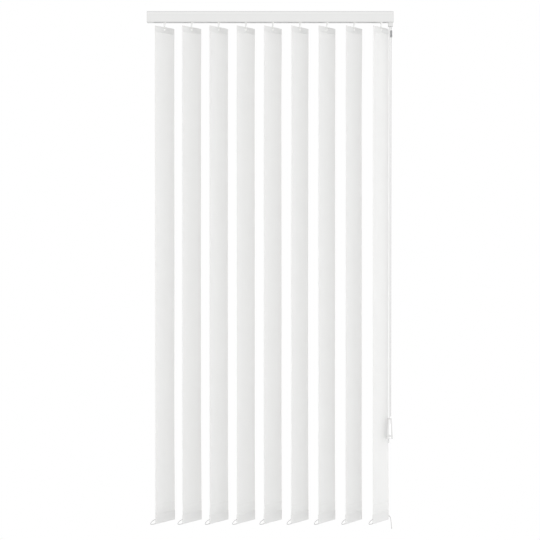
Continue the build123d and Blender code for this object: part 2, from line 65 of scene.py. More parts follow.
NOTCH_HALF_WIDTH = 7.0
NOTCH_DEPTH = 16.0
CORD_X = 514.5
CORD_RADIUS = 1.0
STRAND_Y = 4.5
CHAIN_X = 522.0
HANG_X = CHAIN_X - 1.8
CHAIN_Y = 6.0
scene = bpy.context.scene


# ---- Camera and light -----------------------------------------------------------------------
def aim(thing, target):
    thing.rotation_euler = (Vector(target) - thing.location).to_track_quat("-Z", "Y").to_euler()


def add_camera():
    lens = bpy.data.cameras.new("camera")
    lens.sensor_width = 36.0
    lens.lens = 91.2
    lens.shift_y = -0.03
    lens.dof.use_dof = False
    camera = bpy.data.objects.new("camera", lens)
    camera.location = (-0.0011, -5.899, -0.97)
    camera.rotation_euler = (math.radians(89.306), 0, 0)
    scene.collection.objects.link(camera)
    scene.camera = camera


def add_lamp(name, kind, place, target, power, **sizes):
    lamp = bpy.data.lights.new(name, kind)
    lamp.energy = power
    for key, value in sizes.items():
        setattr(lamp, key, value)
    holder = bpy.data.objects.new(name, lamp)
    holder.location = place
    aim(holder, target)
    scene.collection.objects.link(holder)


def add_surroundings():
    world = bpy.data.worlds.new("studio")
    world.use_nodes = True
    world.node_tree.nodes["Background"].inputs["Color"].default_value = (1, 1, 1, 1)
    world.node_tree.nodes["Background"].inputs["Strength"].default_value = 1.0
    scene.world = world
    scene.view_settings.view_transform = "Standard"
    add_lamp("key", "SUN", (1.75, -6.2, -2.05), (0, 0, -1.1), 0.6, angle=math.radians(9))
    add_lamp("fill", "AREA", (-1.2, -5.0, 1.4), (0, 0, -0.6), 3, shape="DISK", size=1.6)
    add_lamp("low_fill", "AREA", (0.3, -3.3, -2.2), (0, 0, -0.2), 12, shape="DISK", size=1.2)


# ---- Node trees -----------------------------------------------------------------------------
class Signal:
    """An output of a node, which takes part in sums."""

    def __init__(self, graph, socket):
        self.graph, self.socket = graph, socket

    def math(self, operation, *others, clamp=False):
        inputs = dict(enumerate((self,) + others))
        settings = {"operation": operation, "use_clamp": clamp}
        return self.graph.node("ShaderNodeMath", settings, inputs)

    def vector(self, operation, other):
        inputs = {0: self, 1: other}
        return self.graph.node("ShaderNodeVectorMath", {"operation": operation}, inputs)

    def __add__(self, other):
        return self.math("ADD", other)

    def __sub__(self, other):
        return self.math("SUBTRACT", other)

    def __mul__(self, other):
        return self.math("MULTIPLY", other)

    def __rsub__(self, other):
        return self.graph.node("ShaderNodeMath", {"operation": "SUBTRACT"}, {0: other, 1: self})

    __radd__ = __add__
    __rmul__ = __mul__

    def __abs__(self):
        return self.math("ABSOLUTE")

    def sine(self):
        return self.math("SINE")

    def clamped(self):
        return self.math("ADD", 0.0, clamp=True)


class Graph:
    """A node tree, for a finish or for pieces that repeat along a line."""

    def __init__(self, tree):
        self.tree = tree

    def node(self, kind, settings=None, inputs=None, output=0):
        made = self.tree.nodes.new(kind)
        for key, value in (settings or {}).items():
            setattr(made, key, value)
        for key, value in (inputs or {}).items():
            for item in value if isinstance(value, list) else [value]:
                if isinstance(item, Signal):
                    self.tree.links.new(item.socket, made.inputs[key])
                else:
                    made.inputs[key].default_value = item
        return Signal(self, made.outputs[output]) if len(made.outputs) else made


class Finish(Graph):
    """A material: its shader, and the patterns that feed it."""

    def __init__(self, name, **uniform):
        self.material = bpy.data.materials.new(name)
        self.material.use_nodes = True
        super().__init__(self.material.node_tree)
        self.tree.nodes.clear()
        self.shader = self.tree.nodes.new("ShaderNodeBsdfPrincipled")
        output = self.tree.nodes.new("ShaderNodeOutputMaterial")
        self.tree.links.new(self.shader.outputs[0], output.inputs[0])
        for key, value in uniform.items():
            self.shader.inputs[key.replace("_", " ").title()].default_value = value

    def place(self):
        return self.node("ShaderNodeTexCoord", output="Object")

    def parts(self, place):
        """The three parts of a place, each a signal of its own."""
        split = self.node("ShaderNodeSeparateXYZ", None, {0: place}).socket.node
        return [Signal(self, output) for output in split.outputs]

    def noise(self, place, scale, detail=2.0, roughness=0.5):
        inputs = {"Vector": place, "Scale": scale, "Detail": detail, "Roughness": roughness}
        return self.node("ShaderNodeTexNoise", None, inputs)

    def mix(self, factor, low, high):
        inputs = {0: factor, 6: low, 7: high}
        return self.node("ShaderNodeMix", {"data_type": "RGBA"}, inputs, 2)

    def feed(self, **inputs):
        for key, value in inputs.items():
            self.tree.links.new(value.socket, self.shader.inputs[key.replace("_", " ").title()])

    def bump(self, height, distance, strength):
        inputs = {"Height": height, "Distance": distance, "Strength": strength}
        self.feed(normal=self.node("ShaderNodeBump", None, inputs))


def tone(colour, factor=1.0):
    return tuple(min(1.0, part * factor) for part in colour) + (1.0,)


# ---- Finishes -------------------------------------------------------------------------------
def powder_coat(name, colour):
    """Satin paint with orange peel and fine grain; painted shade along the rail's top edge, a painted highlight on
    the band under it, and painted light brightening the shaded inside.
    """
    shade_line_drop, highlight_band_drop, lit_inside_drop, lit_inside_reach = 0.0042, 0.0125, 0.0452, 0.0202
    finish = Finish(name, coat_weight=0.12, coat_roughness=0.3)
    place = finish.place()
    peel = finish.noise(place, 620.0, 2.0)
    grain = finish.noise(place, 3200.0, 1.0)
    drift = finish.noise(place, 5.0, 3.0)
    _, depth, height = finish.parts(place)
    # Painted shade: the top 4.2 mm of the rail is darker.
    painted_shade_line = ((height + shade_line_drop) * 2500.0).clamped()
    # Painted highlight: the band below it, down to 12.5 mm, is lighter.
    painted_highlight_band = ((height + highlight_band_drop) * 900.0).clamped()
    # Painted light: inside the rail, between its walls and above its lips, the colour is made far brighter to lift
    # the shade there.
    within = ((lit_inside_reach - abs(depth)) * 3000.0).clamped()
    painted_light_inside = within * ((height + lit_inside_drop) * 3000.0).clamped()
    painted = finish.mix(drift, tone(colour, 0.985), tone(colour, 1.01))
    with_highlight_band = finish.mix(painted_highlight_band, painted, tone(colour, 1.03))
    with_shade_line = finish.mix(painted_shade_line, with_highlight_band, tone(colour, 0.89))
    finish.feed(
        base_color=finish.mix(painted_light_inside * (1.0 - painted_shade_line), with_shade_line, tone(colour, 1.48)),
        roughness=0.36 + 0.1 * grain + 0.06 * drift,
    )
    finish.bump(peel * 0.8 + grain * 0.2, 0.00006, 0.35)
    return finish.material


def moulded(name, colour, roughness, grain=1800.0, depth=0.00003, flow=0.03, **uniform):
    """Injection-moulded plastic: mould texture, faint flow marks, uneven gloss."""
    finish = Finish(name, **uniform)
    place = finish.place()
    skin = finish.noise(place, grain, 2.0)
    marks = finish.noise(place.vector("MULTIPLY", (60.0, 60.0, 14.0)), 1.0, 4.0)
    finish.feed(
        base_color=finish.mix(marks, tone(colour, 1 - flow), tone(colour, 1 + flow / 2)),
        roughness=(roughness - 0.05) + 0.06 * skin + 0.08 * marks,
    )
    finish.bump(skin + marks * 0.6, depth, 0.3)
    return finish.material


def zinc_plate(name, colour):
    """Folded steel under bright zinc, with its crystals and rolling marks."""
    finish = Finish(name, metallic=1.0)
    place = finish.place()
    crystal = finish.node(
        "ShaderNodeTexVoronoi", {"feature": "F1"}, {"Vector": place, "Scale": 210.0}, "Distance"
    )
    rolled = finish.noise(place.vector("MULTIPLY", (30.0, 1600.0, 1600.0)), 1.0, 3.0)
    finish.feed(
        base_color=finish.mix(crystal, tone(colour, 0.86), tone(colour, 1.12)),
        roughness=0.27 + 0.16 * rolled + 0.1 * crystal,
    )
    finish.bump(rolled + crystal * 0.5, 0.00004, 0.35)
    return finish.material


def drawn_metal(name, colour):
    """Aluminium drawn through a die, streaked along its length."""
    finish = Finish(name, metallic=1.0)
    place = finish.place()
    streak = finish.noise(place.vector("MULTIPLY", (6.0, 2600.0, 2600.0)), 1.0, 3.0)
    cloud = finish.noise(place, 30.0, 2.0)
    finish.feed(
        base_color=finish.mix(streak, tone(colour, 0.88), tone(colour, 1.06)),
        roughness=0.24 + 0.2 * streak + 0.06 * cloud,
    )
    finish.bump(streak, 0.00003, 0.4)
    return finish.material


def woven_cloth(name, colour):
    """Stiffened polyester: plain weave, uneven threads, and the lines of its pockets, with painted highlights
    along the pocket and hem seams and on the bulge below the hem seam.
    """
    thread = 0.00055
    finish = Finish(name, sheen_weight=0.18, sheen_roughness=0.5, subsurface_weight=1.0,
                    subsurface_radius=(1.0, 1.0, 1.0), subsurface_scale=0.0015)
    place = finish.node("ShaderNodeUVMap", {"uv_map": "cloth"})
    across, height, _ = finish.parts(place)
    warp = (across * (math.pi / thread)).sine()
    weft = (height * (math.pi / thread)).sine()
    over = (0.5 + 2.0 * (warp * weft)).clamped()
    weave = over * abs(warp) + (1.0 - over) * abs(weft)
    slub_up = finish.noise(place.vector("MULTIPLY", (1100.0, 9.0, 1.0)), 1.0, 2.0)
    slub_across = finish.noise(place.vector("MULTIPLY", (9.0, 1100.0, 1.0)), 1.0, 2.0)
    streak = finish.noise(place.vector("MULTIPLY", (110.0, 1.2, 1.0)), 1.0, 2.0)
    cloud = finish.noise(place, 7.0, 3.0)

    def line(at, half):
        """1 on a band at that height, 0 away from it."""
        return (1.0 - abs(height - at * MM) * (1.0 / (half * MM))).clamped()

    # Painted highlight along the pocket and hem seams, which are also glossier.
    seam_gloss_and_highlight = (line(POCKET_LINE - 0.6, 1.1) + line(HEM_LINE, 1.1)).clamped()
    # Painted highlight: a lighter band on the bulge below the hem seam.
    painted_fold_highlight = line(HEM_LINE - 13.0, 16.0)
    shade = slub_up * 0.3 + slub_across * 0.2 + streak * 0.3 + cloud * 0.2
    plain = finish.mix(shade, tone(colour, 0.965), tone(colour, 1.02))
    with_fold_highlight = finish.mix(painted_fold_highlight * 0.5, plain, tone(colour, 1.035))
    finish.feed(
        base_color=finish.mix(seam_gloss_and_highlight * 0.6, with_fold_highlight, tone(colour, 1.06)),
        roughness=0.8 + 0.12 * weave - 0.15 * seam_gloss_and_highlight,
    )
    finish.bump(weave + slub_up * 0.5 + slub_across * 0.4, 0.00012, 0.3)
    return finish.material


def sewing_thread(name, colour):
    finish = Finish(name, sheen_weight=0.1)
    place = finish.place()
    ply = finish.node(
        "ShaderNodeTexWave", {"bands_direction": "DIAGONAL"}, {"Vector": place, "Scale": 900.0}
    )
    lint = finish.noise(place, 2600.0, 2.0)
    finish.feed(
        base_color=finish.mix(lint, tone(colour, 0.9), tone(colour)),
        roughness=0.55 + 0.2 * lint,
    )
    finish.bump(ply, 0.00005, 0.4)
    return finish.material


def braided(name, colour, follows_cord):
    """Braid. On the visual cord it follows the cord's own length, and elsewhere its place."""
    finish = Finish(name, sheen_weight=0.15)
    pitch = math.pi / 0.0034
    if follows_cord:
        place = finish.node("ShaderNodeUVMap", {"uv_map": "cord"})
        length, around, _ = finish.parts(place)
        turn = around * (4 * math.pi)
        fleck = finish.noise(place.vector("MULTIPLY", (1400.0, 24.0, 1.0)), 1.0, 2.0)
    else:
        place = finish.place()
        length, _, side = finish.parts(place)
        turn = side * 2400.0
        fleck = finish.noise(place, 1400.0, 2.0)
    along = length * pitch
    one, other = abs((along + turn).sine()), abs((along - turn).sine())
    strand = one.math("MAXIMUM", other)
    shade = strand * 0.7 + fleck * 0.3
    finish.feed(
        base_color=finish.mix(shade, tone(colour, 0.8), tone(colour, 1.03)),
        roughness=0.62 + 0.2 * fleck,
    )
    finish.bump(strand + fleck * 0.2, 0.00016, 0.6)
    return finish.material


WHITE = (0.7, 0.7, 0.695)
FINISH = {
    "rail_paint": powder_coat("rail_paint", (0.64, 0.64, 0.635)),
    "cap_plastic": moulded("cap_plastic", (0.645, 0.645, 0.64), 0.42, 2400.0, 0.00005),
    "clip_steel": zinc_plate("clip_steel", (0.66, 0.67, 0.68)),
    "cord": braided("inner_cord_braid", (0.76, 0.76, 0.74), False),
    "chain_plastic": moulded("chain_plastic", (0.68, 0.68, 0.675), 0.26, 900.0, 0.00002, 0.04,
                             coat_weight=0.3, coat_roughness=0.15),
    "connector_plastic": moulded("connector_plastic", (0.24, 0.245, 0.25), 0.3, 1500.0, 0.00003,
                                 0.1, coat_weight=0.3, coat_roughness=0.2),
    "pendant_plastic": moulded("pendant_plastic", (0.63, 0.63, 0.625), 0.24, 700.0, 0.00003, 0.03,
                               coat_weight=0.4, coat_roughness=0.12),
    "pulley_plastic": moulded("pulley_plastic", (0.7, 0.7, 0.68), 0.38, 1600.0, 0.00003, 0.05),
    "rod_metal": drawn_metal("rod_metal", (0.76, 0.77, 0.78)),
    "carrier_plastic": moulded("carrier_plastic", (0.82, 0.82, 0.8), 0.4, 1500.0, 0.00004, 0.05),
    "worm_plastic": moulded("worm_plastic", (0.66, 0.665, 0.65), 0.36, 1300.0, 0.00003, 0.05),
    "hook_plastic": moulded("hook_plastic", (0.84, 0.84, 0.835), 0.3, 1100.0, 0.00003, 0.06,
                            coat_weight=0.15, coat_roughness=0.2),
    "vane_cloth": woven_cloth("vane_cloth", WHITE),
    "fitting_plastic": moulded("fitting_plastic", (0.74, 0.74, 0.72), 0.42, 1500.0, 0.00004, 0.04),
}
THREAD = sewing_thread("sewing_thread", (0.72, 0.72, 0.71))
BRAID = braided("pull_cord_braid", (0.69, 0.69, 0.68), True)
LINKS = moulded("link_plastic", (0.5, 0.5, 0.495), 0.3, 900.0, 0.00002, 0.04, coat_weight=0.2)
FLOOR = powder_coat("floor_paint", (0.8, 0.8, 0.8))


# ---- Making pieces --------------------------------------------------------------------------
def add_piece(name, points, faces, finish, body, uv=None, uv_name="cloth", sharp=40):
    """A mesh of its own, on its body. Points are in metres."""
    mesh = bpy.data.meshes.new(name)
    mesh.from_pydata(points, [], faces)
    if uv:
        layer = mesh.uv_layers.new(name=uv_name)
        for loop in mesh.loops:
            layer.data[loop.index].uv = uv[loop.vertex_index]
    mesh.materials.append(finish)
    mesh.polygons.foreach_set("use_smooth", [True] * len(mesh.polygons))
    mesh.set_sharp_from_angle(angle=math.radians(sharp))
    piece = bpy.data.objects.new(name, mesh)
    return keep(piece, body)


def keep(piece, body):
    """Puts a piece in the scene, on its body."""
    if piece.name not in scene.collection.objects:
        scene.collection.objects.link(piece)
    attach(piece, body)
    return piece


def face_outwards(piece, weld=0.0):
    """Turns every face outwards, after joining points nearer than that."""
    work = bmesh.new()
    work.from_mesh(piece.data)
    if weld:
        bmesh.ops.remove_doubles(work, verts=work.verts, dist=weld)
    bmesh.ops.recalc_face_normals(work, faces=work.faces)
    work.to_mesh(piece.data)
    work.free()


class Solid:
    """Points and faces of one or more closed skins, gathered for one piece."""

    def __init__(self):
        self.points, self.faces = [], []

    def bands(self, rings, closes):
        """Faces between rings of equally many points, and back to the first if it closes."""
        first, count = len(self.points), len(rings[0])
        for ring in rings:
            self.points.extend(ring)
        for row in range(len(rings) if closes else len(rings) - 1):
            a, b = first + row * count, first + (row + 1) % len(rings) * count
            for k in range(count):
                m = (k + 1) % count
                self.faces.append((a + k, a + m, b + m, b + k))

    def skin(self, rings):
        """Bands between rings, with a cap at each end."""
        first, count = len(self.points), len(rings[0])
        self.bands(rings, False)
        for start, ring in ((first, rings[0]), (first + (len(rings) - 1) * count, rings[-1])):
            self.points.append(sum(ring, Vector()) / count)
            tip = len(self.points) - 1
            for k in range(count):
                self.faces.append((start + k, start + (k + 1) % count, tip))

    def piece(self, name, finish, slot, body, sharp=40):
        made = add_piece(name, self.points, self.faces, finish, body, sharp=sharp)
        face_outwards(made)
        made.data.set_sharp_from_angle(angle=math.radians(sharp))
        return made


# ---- Lines that cords and chains follow -----------------------------------------------------
def smooth_line(points, steps):
    """Points in metres along the smooth line of a route."""
    curve = bpy.data.curves.new("route", "CURVE")
    curve.dimensions = "3D"
    curve.resolution_u = steps
    spline = curve.splines.new("NURBS")
    spline.points.add(len(points) - 1)
    for control, point in zip(spline.points, points):
        control.co = (*point, 1.0)
    spline.order_u = 3
    spline.use_endpoint_u = True
    holder = bpy.data.objects.new("route", curve)
    scene.collection.objects.link(holder)
    seen = holder.evaluated_get(bpy.context.evaluated_depsgraph_get())
    mesh = bpy.data.meshes.new_from_object(seen)
    line = [vertex.co.copy() for vertex in mesh.vertices]
    bpy.data.objects.remove(holder)
    bpy.data.meshes.remove(mesh)
    return line


def repeat_tree(name, threaded):
    """Round links, or stitches, at even steps along a line, with or without a thread in them."""
    graph = Graph(bpy.data.node_groups.new(name, "GeometryNodeTree"))
    sockets = graph.tree.interface
    wanted = [("Geometry", "Geometry"), ("Spacing", "Float"), ("Link Length", "Float")]
    wanted += [("Link Width", "Float"), ("Segments", "Int"), ("Rings", "Int")]
    wanted += [("Finish", "Material")] + ([("Thread Radius", "Float")] if threaded else [])
    for label, kind in wanted:
        sockets.new_socket(label, in_out="INPUT", socket_type=f"NodeSocket{kind}")
    sockets.new_socket("Geometry", in_out="OUTPUT", socket_type="NodeSocketGeometry")
    entry = graph.tree.nodes.new("NodeGroupInput")

    def given(label):
        return Signal(graph, entry.outputs[label])

    def made(kind, settings=None, **inputs):
        named = {key.replace("_", " ").title(): value for key, value in inputs.items()}
        return graph.node("GeometryNode" + kind, settings, named)

    line = made("MeshToCurve", mesh=given("Geometry"))
    spots = made("ResampleCurve", {"mode": "LENGTH"}, curve=line, length=given("Spacing"))
    turn = graph.node(
        "FunctionNodeAlignRotationToVector", {"axis": "X"}, {"Vector": made("InputTangent")}
    )
    ball = made("MeshUVSphere", segments=given("Segments"), rings=given("Rings"), radius=0.5)
    width = given("Link Width")
    size = graph.node(
        "ShaderNodeCombineXYZ", None, {0: given("Link Length"), 1: width, 2: width}
    )
    shape = made("InstanceOnPoints", points=spots, instance=ball, rotation=turn, scale=size)
    if threaded:
        section = made("CurvePrimitiveCircle", resolution=6, radius=given("Thread Radius"))
        thread = made("CurveToMesh", curve=line, profile_curve=section, fill_caps=True)
        shape = made("JoinGeometry", geometry=[shape, thread])
    smooth = made("SetShadeSmooth", geometry=made("RealizeInstances", geometry=shape))
    coloured = made("SetMaterial", geometry=smooth, material=given("Finish"))
    leave = graph.tree.nodes.new("NodeGroupOutput")
    graph.tree.links.new(coloured.socket, leave.inputs[0])
    return graph.tree


def repeat_along(name, lines, tree, slot, body, **sizes):
    """Runs a repeating tree along lines of points, and keeps the result as a plain mesh."""
    points, edges = [], []
    for line in lines:
        edges += [(len(points) + k, len(points) + k + 1) for k in range(len(line) - 1)]
        points += line
    base = bpy.data.meshes.new("line")
    base.from_pydata(points, edges, [])
    holder = bpy.data.objects.new("line", base)
    scene.collection.objects.link(holder)
    modifier = holder.modifiers.new("repeat", "NODES")
    modifier.node_group = tree
    for item in tree.interface.items_tree:
        key = item.name.replace(" ", "_").lower()
        if item.in_out == "INPUT" and key in sizes:
            modifier[item.identifier] = sizes[key]
    seen = holder.evaluated_get(bpy.context.evaluated_depsgraph_get())
    mesh = bpy.data.meshes.new_from_object(seen)
    mesh.name = name
    bpy.data.objects.remove(holder)
    return keep(bpy.data.objects.new(name, mesh), body)


STRING = repeat_tree("beads_on_thread", True)
STITCH = repeat_tree("running_stitch", False)


# ---- Pull cord and bead chain ---------------------------------------------------------------
def metres(points):
    return [tuple(part * MM for part in point) for point in points]


def cord_tube(name, line, across, radius, finish, body, sides=12):
    """A tube along a flat line, with its length and its turn as its UV."""
    points, faces, uv = [], [], []
    travelled = 0.0
    for k, here in enumerate(line):
        ahead = line[min(k + 1, len(line) - 1)] - line[max(k - 1, 0)]
        up = ahead.normalized().cross(across)
        if k:
            travelled += (here - line[k - 1]).length
        for side in range(sides + 1):
            angle = 2 * math.pi * side / sides
            points.append(here + radius * (math.cos(angle) * across + math.sin(angle) * up))
            uv.append((travelled, side / sides))
    row = sides + 1
    for k in range(len(line) - 1):
        for side in range(sides):
            a, b = k * row + side, (k + 1) * row + side
            faces.append((a, a + 1, b + 1, b))
    for start, at in ((0, line[0]), ((len(line) - 1) * row, line[-1])):
        points.append(at)
        uv.append((0.0, 0.0))
        for side in range(sides):
            faces.append((start + side, start + side + 1, len(points) - 1))
    piece = add_piece(name, points, faces, finish, body, uv, "cord", 60)
    face_outwards(piece, 1e-7)
    return piece


def oval(half_x, half_y, height, middle=(CORD_X, 0.0), count=48, power=2.3):
    """A ring between an ellipse and a rectangle, lying level."""
    ring = []
    for k in range(count):
        angle = 2 * math.pi * k / count
        c, s = math.cos(angle), math.sin(angle)
        x = math.copysign(abs(c) ** (2 / power), c) * half_x
        y = math.copysign(abs(s) ** (2 / power), s) * half_y
        ring.append(Vector((middle[0] + x, middle[1] + y, height)) * MM)
    return ring


def add_connector():
    """The clip that joins the bead chain's two ends, with a waist to grip it by."""
    top, low = -81.0, -111.0
    half_x, half_y = 4.2, 3.0
    profile = [(1.6, top), (0.7, top - 0.3), (0.2, top - 0.9), (0.0, top - 1.8)]
    profile += [(0.0, top - 11.6), (0.5, top - 12.4), (0.5, top - 17.6), (0.0, top - 18.4)]
    profile += [(0.0, low + 1.8), (0.2, low + 0.9), (0.7, low + 0.3), (1.6, low)]
    rings = [
        oval(half_x - inset, half_y - inset, height, (HANG_X, -CHAIN_Y), 40, 4.0)
        for inset, height in profile
    ]
    solid = Solid()
    solid.skin(rings)
    connector = solid.piece(
        "chain_clip", FINISH["connector_plastic"], "connector_plastic", "head", sharp=34
    )
    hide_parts("chain_connector")
    return connector


def add_cords():
    """The pull cord round the pendant's pulley, and the bead chain round its wheel."""
    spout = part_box("pull_cord")[1].z / MM
    hub, low = -1775.0, -1779.5
    down = [(CORD_X, -STRAND_Y, height) for height in (spout, hub + 12, hub, low)]
    up = [(CORD_X, STRAND_Y, height) for height in (low, hub, hub + 12, spout)]
    line = smooth_line(metres(down + up), 40)
    cord = cord_tube(
        "pull_cord_braid", line, Vector((1, 0, 0)), CORD_RADIUS * MM, BRAID, "head"
    )
    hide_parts("pull_cord")

    wheel = -30.0
    top, clear, bottom = wheel + CHAIN_Y, wheel - 32.0, -1742.0
    route = [
        (CHAIN_X, 0, top), (CHAIN_X, -CHAIN_Y, top), (CHAIN_X, -CHAIN_Y, wheel),
        (HANG_X, -CHAIN_Y, clear), (HANG_X, -CHAIN_Y, bottom + CHAIN_Y),
        (HANG_X, -CHAIN_Y, bottom), (HANG_X, CHAIN_Y, bottom),
        (HANG_X, CHAIN_Y, bottom + CHAIN_Y), (HANG_X, CHAIN_Y, clear),
        (CHAIN_X, CHAIN_Y, wheel), (CHAIN_X, CHAIN_Y, top), (CHAIN_X, 0, top),
    ]
    line = smooth_line(metres(route), 40)
    chain = repeat_along(
        "tilt_chain_beads", [line], STRING, "chain_plastic", "head", spacing=6.0 * MM,
        link_length=4.5 * MM, link_width=4.5 * MM, thread_radius=0.55 * MM, segments=10, rings=7,
        finish=FINISH["chain_plastic"],
    )
    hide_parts("bead_chain")
    connector = add_connector()


# ---- Vanes ----------------------------------------------------------------------------------
def rise(value, low, high):
    """Smooth step from 0 at low to 1 at high."""
    part = min(1.0, max(0.0, (value - low) / (high - low)))
    return part * part * (3 - 2 * part)


def dome(distance, radius):
    """Share of a rounded edge's thickness, that far in from the edge."""
    left = max(0.0, radius - distance) / radius
    return math.sqrt(max(0.0, 1 - left * left))


def thickness(along, height):
    """Half the cloth's thickness: the sheet, its pockets, and the creases at their seams."""
    # What each layer adds on a side: the sheet, its turned part, the hanger plate, the weight.
    sheet, turned, plate, bar, bar_slope, least = 0.4, 0.2, 0.6, 1.45, 0.25, 0.22
    crease, pocket_crease, hem_crease = 0.8, 0.16, 0.2
    near_edge = HALF_WIDTH - abs(along)
    pocket = rise(height, POCKET_LINE - 1.6, POCKET_LINE + 1.2)
    half = sheet + pocket * (turned + plate * rise(near_edge, 1.0, 5.5))
    half -= pocket_crease * math.exp(-((height - POCKET_LINE + 1.0) / crease) ** 2)
    half += turned * rise(-height, -HEM_LINE - 0.5, -HEM_LINE + 0.6)
    half -= hem_crease * math.exp(-((height - HEM_LINE - 0.4) / crease) ** 2)
    weight = rise(-height, -WEIGHT_LINE - 1.5, -WEIGHT_LINE + 1.5)
    half += weight * (bar - bar_slope * (1 - rise(near_edge, 0.5, 6.0)))
    half = max(half, least)
    half *= max(0.2, dome(VANE_TOP - height, 1.2))
    half *= max(0.15, dome(height - VANE_BOTTOM, 2.0))
    return half * max(0.6, dome(near_edge, 0.5))


def sway(number, along, height):
    """How far the cloth stands from its flat plane, between its two pockets."""
    free = rise(-height, -VANE_TOP + 40, -VANE_TOP + 330)
    free *= rise(height, WEIGHT_LINE + 20, WEIGHT_LINE + 330)
    slow = noise.noise(Vector((along * 0.006, height * 0.0011, number * 7.31)))
    fine = noise.noise(Vector((along * 0.02, height * 0.004, number * 3.17 + 50)))
    cup = 1.5 * rise(along, 40, HALF_WIDTH + 8) + 0.7 * rise(-along, 40, HALF_WIDTH + 8)
    return free * (1.5 * slow + 0.35 * fine + cup)


def on_vane(number, along, out, height):
    """A point in metres from a vane's own directions."""
    x = VANE_X[number] + (math.cos(TURN) * along - math.sin(TURN) * out) * MM
    y = (math.sin(TURN) * along + math.cos(TURN) * out) * MM
    return Vector((x, y, height * MM))


def cloth_grid():
    """Columns across the cloth and rows down it, closer together at its edges and folds."""
    steps = (0.0, 0.3, 0.9, 2.2, 4.0, 6.0, 9.0, 13.0, 18.0, 24.0, 31.0, 39.0, 48.0)
    middle = {-NOTCH_HALF_WIDTH, 0.0, NOTCH_HALF_WIDTH}
    columns = {HALF_WIDTH - step for step in steps} | {step - HALF_WIDTH for step in steps}
    columns = sorted(columns | middle)
    rows = [VANE_TOP - step for step in (0.0, 0.12, 0.5, 1.2, 3.0, 7.0, 11.5, NOTCH_DEPTH, 19.0)]
    rows += [VANE_TOP - step for step in (22.0, 24.4, 25.2, 26.0, 26.8, 27.6, 28.6, 31.0, 36.0)]
    count = 44
    high, low = rows[-1], HEM_LINE + 6.0
    rows += [high + (low - high) * k / count for k in range(1, count)]
    rows += [HEM_LINE + step for step in (6.0, 2.2, 1.2, 0.5, -0.1, -0.7, -3.0, -12.0, -24.0)]
    rows += [HEM_LINE - 34.0]
    rows += [WEIGHT_LINE + step for step in (1.6, 0.8, 0.0, -0.8, -1.6, -6.0, -14.0, -24.0)]
    rows += [WEIGHT_LINE - 33.0]
    rows += [VANE_BOTTOM + step for step in (4.0, 2.0, 1.2, 0.6, 0.2, 0.0)]
    return columns, rows


def add_cloth(number):
    """The cloth as one closed skin, with a notch at the top for the hook."""
    columns, rows = cloth_grid()
    points, uv, faces, made = [], [], [], {}

    def corner(side, row, column):
        key = (side, row, column)
        if key not in made:
            along, height = columns[column], rows[row]
            out = sway(number, along, height) + side * thickness(along, height)
            made[key] = len(points)
            points.append(on_vane(number, along, out, height))
            uv.append((along * MM, height * MM))
        return made[key]

    def kept(row, column):
        if not (0 <= row < len(rows) - 1 and 0 <= column < len(columns) - 1):
            return False
        left, right = columns[column], columns[column + 1]
        in_notch = -NOTCH_HALF_WIDTH <= left and right <= NOTCH_HALF_WIDTH
        return not (in_notch and rows[row + 1] >= VANE_TOP - NOTCH_DEPTH)

    for row in range(len(rows) - 1):
        for column in range(len(columns) - 1):
            if not kept(row, column):
                continue
            ring = [(row, column), (row, column + 1), (row + 1, column + 1), (row + 1, column)]
            faces.append([corner(1, *spot) for spot in ring])
            faces.append([corner(-1, *spot) for spot in reversed(ring)])
            beside = [(row - 1, column), (row, column + 1)]
            beside += [(row + 1, column), (row, column - 1)]
            for k, other in enumerate(beside):
                if not kept(*other):
                    a, b = ring[k], ring[(k + 1) % 4]
                    faces.append([corner(1, *b), corner(1, *a), corner(-1, *a), corner(-1, *b)])
    cloth = add_piece(
        f"vane_cloth_{number}", points, faces, FINISH["vane_cloth"],
        f"vane_{number}", uv, "cloth", 48,
    )
    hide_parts(f"vane_fabric_{number}")
    return cloth


def add_stitches(number):
    """Running stitch on both faces, along the edge of the top pocket and of the hem."""
    reach, steps, clearance = 61.5, 32, 0.02
    seams = []
    for height in (POCKET_LINE + 1.6, HEM_LINE - 2.4):
        for side in (1, -1):
            seam = []
            for k in range(steps + 1):
                along = reach * (2 * k / steps - 1)
                proud = thickness(along, height) + clearance
                out = sway(number, along, height) + side * proud
                seam.append(on_vane(number, along, out, height))
            seams.append(seam)
    return repeat_along(
        f"vane_stitches_{number}", seams, STITCH, "vane_cloth", f"vane_{number}",
        spacing=3.4 * MM, link_length=2.5 * MM, link_width=0.42 * MM, segments=6, rings=5,
        finish=THREAD,
    )


def rounded_outline(half_long, half_high, radius, steps):
    """Corners of a rounded rectangle, anticlockwise."""
    outline = []
    for k, (sx, sz) in enumerate(((1, 1), (-1, 1), (-1, -1), (1, -1))):
        for step in range(steps + 1):
            angle = math.pi / 2 * (k + step / steps)
            outline.append((
                sx * (half_long - radius) + radius * math.cos(angle),
                sz * (half_high - radius) + radius * math.sin(angle),
            ))
    return outline


def plate_rings(number, outline, middle, half, edge, hole=None):
    """Rings round a plate with rounded edges: up its room side, over the edge, and back."""
    rings = []
    centre_u, centre_z = middle

    def ring(shape, inset, out):
        grown = []
        for u, z in shape:
            length = math.hypot(u, z) or 1.0
            along = centre_u + u - inset * u / length
            grown.append(on_vane(number, along, out, centre_z + z - inset * z / length))
        return grown

    if hole:
        rings.append(ring(hole, 0, -half))
    rings += [ring(outline, edge, -half), ring(outline, edge * 0.3, -half + edge * 0.3)]
    rings += [ring(outline, 0, -half + edge), ring(outline, 0, half - edge)]
    rings += [ring(outline, edge * 0.3, half - edge * 0.3), ring(outline, edge, half)]
    if hole:
        rings.append(ring(hole, 0, half))
    return rings


